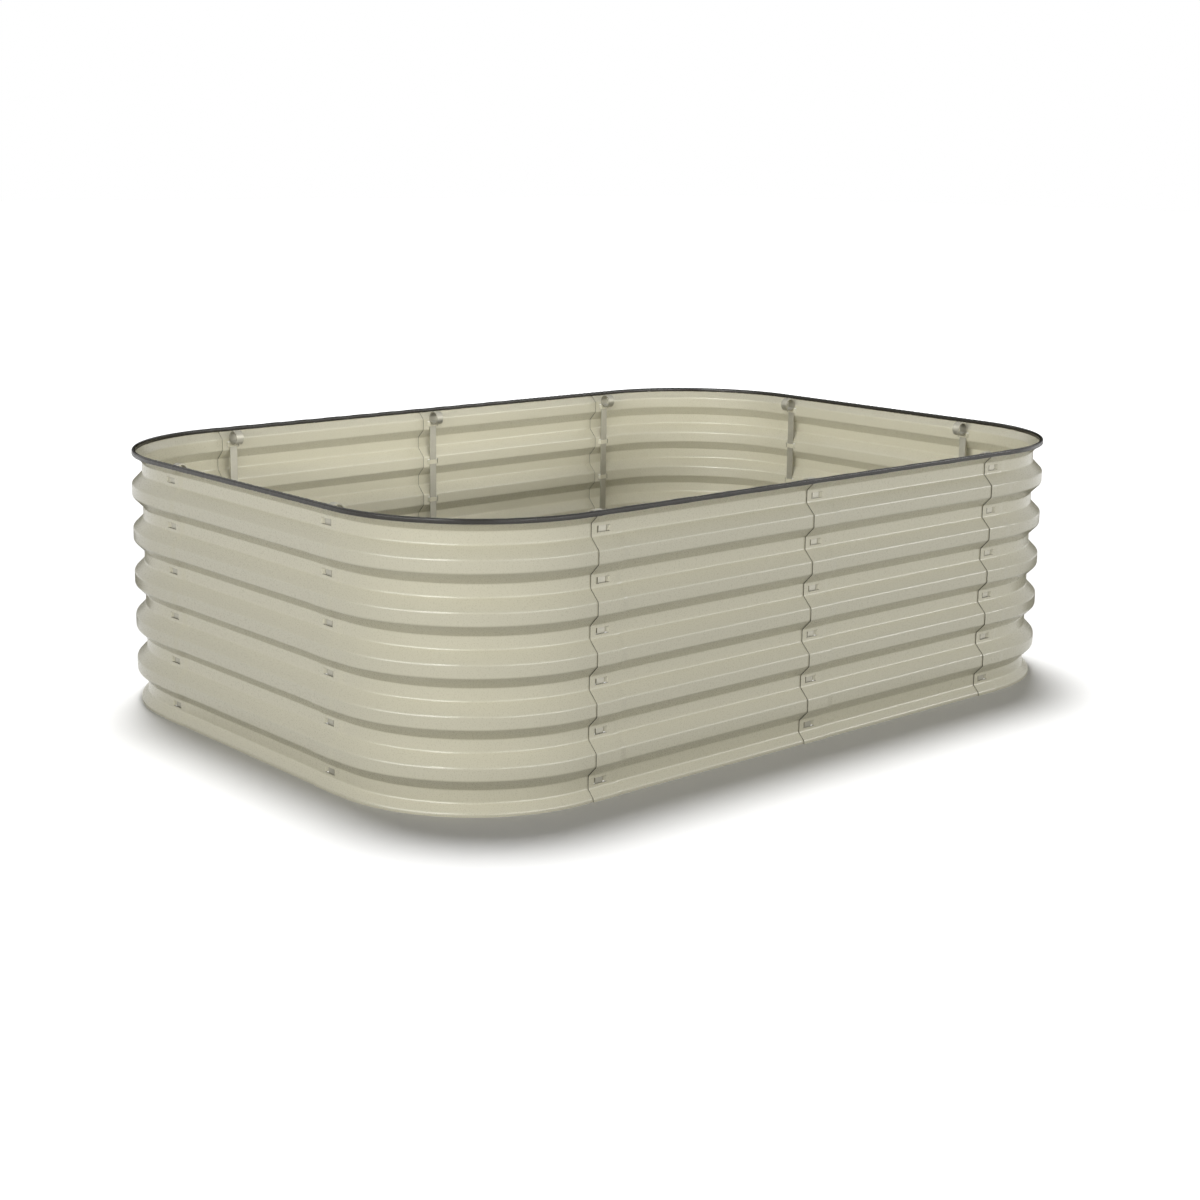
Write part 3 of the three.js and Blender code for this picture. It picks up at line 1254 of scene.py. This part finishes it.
        def station(co: Vector) -> float | None:
            """Counts half ribs round the quarter.

            Args:
                co: A point.

            Returns:
                Its place, or None where it isn't on the quarter.
            """
            arm = co - centre
            angle = math.atan2(arm.dot(way), arm.dot(outwards))
            out = math.hypot(arm.x, arm.y) - self.radius
            on_it = abs(out) < self.reach and 0 < angle < QUARTER
            return angle / QUARTER * halves if on_it else None

        self.rib(bench, station)
        return centre + way * self.radius

    def pick_end(self, bench: Bench, end: Vector, way: Vector) -> None:
        """Selects the section's outline at the end of a stretch.

        Args:
            bench: The work.
            end: The end, at the bottom of the grooves.
            way: The direction of the stretch.
        """
        outwards = way.cross(UP)

        def at_end(co: Vector) -> bool:
            """Says if a place is on the section there."""
            return abs((co - end).dot(way)) < NEAR and abs((co - end).dot(outwards)) < self.reach

        bench.pick(Kind.EDGES, at_end)

    def build(self) -> bpy.types.Object:
        """Models the trim round the bed, and closes its two ends.

        Returns:
            The trim.
        """
        trim = self.section()
        back, left = Vector((-1, 0, 0)), Vector((0, -1, 0))
        front, right = Vector((1, 0, 0)), Vector((0, 1, 0))
        half_long, half_short = self.half_long - self.radius, self.half_short - self.radius
        gap = self.butt_gap / 2
        stretches = [
            (back, self.joint - gap + half_long),
            (left, 2 * half_short),
            (front, 2 * half_long),
            (right, 2 * half_short),
            (back, half_long - self.joint - gap),
        ]
        place = first = Vector((self.joint - gap, self.half_short, 0))
        with Bench(trim) as bench:
            for i, (way, length) in enumerate(stretches):
                self.pick_end(bench, place, way)
                self.run(bench, place, way, length)
                place = place + way * length
                if i < len(stretches) - 1:
                    place = self.turn(bench, place, way)
            for end in (first, place):
                self.pick_end(bench, end, back)
                bpy.ops.mesh.edge_face_add()
            bench.face_outwards()
        smooth(trim, self.smooth_angle, flats=False)
        return trim

    def dress(self, trim: bpy.types.Object) -> None:
        """Sets up the trim on the rim.

        Args:
            trim: The modelled trim.
        """
        trim.data.materials.append(self.finish)
        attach(trim, BED)
        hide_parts("rim_trim")


# ---- studio ---------------------------------------------------------------------------------


class Lights(Enum):
    """What a lamp lights."""

    FLOOR_ALONE = "INCLUDE"
    ALL_BUT_FLOOR = "EXCLUDE"


@dataclass(frozen=True)
class StillCamera:
    """The camera at the photograph's viewpoint."""

    place: Vector = field(default_factory=lambda: Vector((-2.2844, -2.5627, 0.9399)))
    yaw: float = math.radians(-41.04)  # from looking along +Y, anticlockwise
    pitch: float = math.radians(10.94)  # downwards
    roll: float = math.radians(0.65)
    lens: float = 57.83  # millimetres, as the sensor's width
    sensor: float = 36
    shift: tuple[float, float] = (0.0168, -0.0608)
    sight: float = 100  # how far it sees

    def build(self) -> None:
        """Adds the camera and makes it the scene's own."""
        bpy.ops.object.camera_add(location=self.place)
        camera = bpy.context.object
        camera.name = "still_camera"
        camera.data.lens = self.lens
        camera.data.sensor_width = self.sensor
        camera.data.shift_x, camera.data.shift_y = self.shift
        camera.data.clip_end = self.sight
        turn = Matrix.Rotation(self.yaw, 4, "Z") @ Matrix.Rotation(QUARTER - self.pitch, 4, "X")
        turn = turn @ Matrix.Rotation(self.roll, 4, "Z")
        camera.matrix_world = Matrix.Translation(self.place) @ turn
        bpy.context.scene.camera = camera


@dataclass(frozen=True)
class SoftLamp:
    """A soft box, wide or square, that points at a target."""

    name: str
    azimuth: float  # degrees, from +X anticlockwise
    elevation: float
    distance: float
    size: tuple[float, float]  # width and height
    level: float  # light on a surface that faces it, where 1 shows a colour as it is written
    target: Vector

    def build(self) -> bpy.types.Object:
        """Adds the lamp.

        Returns:
            The lamp.
        """
        azimuth, elevation = math.radians(self.azimuth), math.radians(self.elevation)
        level_part = math.cos(elevation)
        way = Vector((
            math.cos(azimuth) * level_part,
            math.sin(azimuth) * level_part,
            math.sin(elevation),
        ))
        place = self.target + way * self.distance
        bpy.ops.object.light_add(type="AREA", location=place)
        lamp = bpy.context.object
        lamp.name = self.name
        lamp.data.shape = "RECTANGLE"
        lamp.data.size, lamp.data.size_y = self.size
        lamp.data.energy = self.level * AS_WRITTEN * math.pi * self.distance**2
        lamp.rotation_euler = way.to_track_quat("Z", "Y").to_euler()
        lamp.visible_camera = False
        return lamp


@dataclass(frozen=True)
class BroadLamp:
    """A very distant, wide lamp that lights everything evenly."""

    name: str
    azimuth: float  # degrees, from +X anticlockwise
    elevation: float
    spread: float
    level: float  # light on a surface that faces it, where 1 shows a colour as it is written
    in_gloss: bool = True  # whether gloss shows it

    def build(self) -> bpy.types.Object:
        """Adds the lamp.

        Returns:
            The lamp.
        """
        bpy.ops.object.light_add(type="SUN")
        lamp = bpy.context.object
        lamp.name = self.name
        lamp.data.energy = self.level * AS_WRITTEN
        lamp.data.angle = math.radians(self.spread)
        lamp.visible_glossy = self.in_gloss
        tilt = QUARTER - math.radians(self.elevation)
        lamp.rotation_euler = (tilt, 0, math.radians(self.azimuth) + QUARTER)
        return lamp


@dataclass(frozen=True)
class DarkCard:
    """A black card behind the bed that only glossy surfaces see, as a photographer sets one to
    draw the edges of a shiny thing on white."""

    name: str
    distance: float  # of its middle from the bed's, in the direction that the camera looks
    height: float  # of its middle above the floor
    size: tuple[float, float]  # across the view, and upwards or away from the camera
    upright: bool

    def build(self, cloth: bpy.types.Material) -> None:
        """Adds the card.

        Args:
            cloth: What covers it.
        """
        heading = StillCamera.yaw
        place = Matrix.Rotation(heading, 4, "Z") @ Vector((0, self.distance, self.height))
        turn = (QUARTER if self.upright else 0, 0, heading)
        bpy.ops.mesh.primitive_plane_add(size=1, location=place, rotation=turn)
        card = bpy.context.object
        card.name = self.name
        card.scale = (*self.size, 1)
        card.data.materials.append(cloth)
        card.visible_camera = card.visible_diffuse = card.visible_transmission = False
        card.visible_shadow = card.visible_volume_scatter = False


@dataclass(frozen=True)
class Studio:
    """White surround, pale floor, dark cards, lamps and camera."""

    floor_size: float = 60.0
    middle: Vector = field(default_factory=lambda: Vector((0, 0, 0.22)))
    near_left: Vector = field(default_factory=lambda: Vector((-0.68, -0.45, 0.25)))
    near_rim: Vector = field(default_factory=lambda: Vector((-0.3, -0.5, 0.4)))
    near_right: Vector = field(default_factory=lambda: Vector((0.6, -0.5, 0.22)))
    inner_right: Vector = field(default_factory=lambda: Vector((0.6, 0.1, 0.3)))
    inner_back: Vector = field(default_factory=lambda: Vector((-0.3, 0.45, 0.3)))

    def cards(self) -> list[DarkCard]:
        """Lists the dark cards."""
        return [
            DarkCard("card_on_floor", 1.35, 0.001, (3.2, 2.1), upright=False),
            DarkCard("card_behind", 2.4, 0.7, (4.6, 1.4), upright=True),
        ]

    def bed_lamps(self) -> list[SoftLamp | BroadLamp]:
        """Lists the lamps that light all but the floor."""
        return [
            SoftLamp("wide_left", 192, 12, 8.0, (7.0, 0.5), 0.40, self.middle),
            SoftLamp("wide_front", 266, 9, 8.0, (7.0, 0.5), 0.31, self.middle),
            SoftLamp("near_corner", 205, 30, 1.6, (0.6, 0.25), 0.25, self.near_left),
            SoftLamp("high_front", 262, 42, 2.6, (1.0, 0.3), 0.03, self.near_rim),
            SoftLamp("low_right", 318, 18, 3.5, (0.9, 0.3), 0.13, self.near_right),
            BroadLamp("low_front", 300, 4, 30, 0.14),
            SoftLamp("inside_right", 200, 35, 0.9, (0.5, 0.5), 0.37, self.inner_right),
            SoftLamp("inside_back", 260, 35, 0.9, (0.5, 0.5), 0.18, self.inner_back),
            BroadLamp("far_left", 160, 30, 30, 0.05),
            BroadLamp("behind", 50, 14, 60, 0.55, in_gloss=False),
        ]

    def floor_lamps(self) -> list[BroadLamp]:
        """Lists the lamps that light the floor alone, and cast the bed's shadow on it."""
        return [
            BroadLamp("on_floor", 60, 71, 19, 1.02),
            BroadLamp("around_floor", 240, 75, 150, 0.17),
        ]

    def build(self) -> None:
        """Sets up all of it."""
        WhiteSurround().build()
        bpy.ops.mesh.primitive_plane_add(size=self.floor_size)
        floor = bpy.context.object
        floor.name = "floor"
        floor.data.materials.append(PaleFloor().build())
        cloth = BlackCloth().build()
        for card in self.cards():
            card.build(cloth)
        for lamp in self.bed_lamps():
            self.link(lamp.build(), floor, Lights.ALL_BUT_FLOOR)
        for lamp in self.floor_lamps():
            self.link(lamp.build(), floor, Lights.FLOOR_ALONE)
        StillCamera().build()
        log.info("floor, dark cards, lamps and camera in place")

    @staticmethod
    def link(lamp: bpy.types.Object, floor: bpy.types.Object, lights: Lights) -> None:
        """Says what a lamp lights.

        Args:
            lamp: The lamp.
            floor: The floor.
            lights: The floor alone, or all but the floor.
        """
        group = bpy.data.collections.new(f"{lamp.name}_lights")
        group.objects.link(floor)
        group.collection_objects[0].light_linking.link_state = lights.value
        lamp.light_linking.receiver_collection = group


# ---- the bed --------------------------------------------------------------------------------


def build_walls(
    paint: bpy.types.Material, edge: bpy.types.Material, zinc: bpy.types.Material
) -> None:
    """Models each kind of panel and the strip once, and sets their copies up at the seams.

    Args:
        paint: Finish of the panels.
        edge: Finish of their cut edges, coloured near black as painted shade of the gaps and slits.
        zinc: Finish of the strips.
    """
    low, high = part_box(Seam.FRONT_LEFT.strip)
    strip_face = LockingStrip.face
    places = {seam: seam.frame(strip_face) for seam in Seam}
    pitch = (places[Seam.FRONT_MIDDLE].translation - places[Seam.FRONT_LEFT].translation).length
    strap_face = strip_face + LockingStrip.thickness + LockingStrip.strap_gap
    strap_middle = strap_face + Corrugation.sheet / 2
    ring_height = high.z - LockingStrip.ring_radius - LockingStrip.thickness / 2
    strip_maker = LockingStrip(ring_height, low.z, high.x - low.x, zinc)
    makers = {
        "panel": WallPanel(pitch, strap_middle, paint, edge),
        "corner": CornerPanel(pitch, strap_middle, paint, edge),
    }
    strip = strip_maker.build()
    models = {kind: maker.build() for kind, maker in makers.items()}
    for seam, place in places.items():
        kind = seam.value.split("_")[0]
        makers[kind].dress(models[kind], seam, place)
        strip_maker.dress(strip, seam, place)
        log.info("%s: %s and %s in place", seam.place, seam.value, seam.strip)
    for model in (strip, *models.values()):
        bpy.data.objects.remove(model)


def build_trim(rubber: bpy.types.Material) -> None:
    """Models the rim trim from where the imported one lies.

    Args:
        rubber: Its finish.
    """
    _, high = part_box("rim_trim")
    front = Seam.FRONT_LEFT.frame(LockingStrip.face).translation
    right = Seam.RIGHT_FRONT.frame(LockingStrip.face).translation
    outer = high.x - right.x
    joint = -front.x / 2  # in the middle of a back panel
    maker = RimTrim(right.x, -front.y, CornerPanel.radius, high.z, outer, joint, rubber)
    maker.dress(maker.build())
    log.info("rim trim in place")


def main() -> None:
    """Builds the studio, the walls with their strips, and the trim."""
    logging.basicConfig(level=logging.INFO, format="%(name)s: %(message)s")
    bpy.context.scene.view_settings.view_transform = "Standard"
    Studio().build()
    # The cut edges are coloured near black, as painted shade of the gaps and slits.
    build_walls(PowderCoat().build(), CutEdge().build(), ZincStrip().build())
    build_trim(BlackRubber().build())


if __name__ == "__main__":
    main()
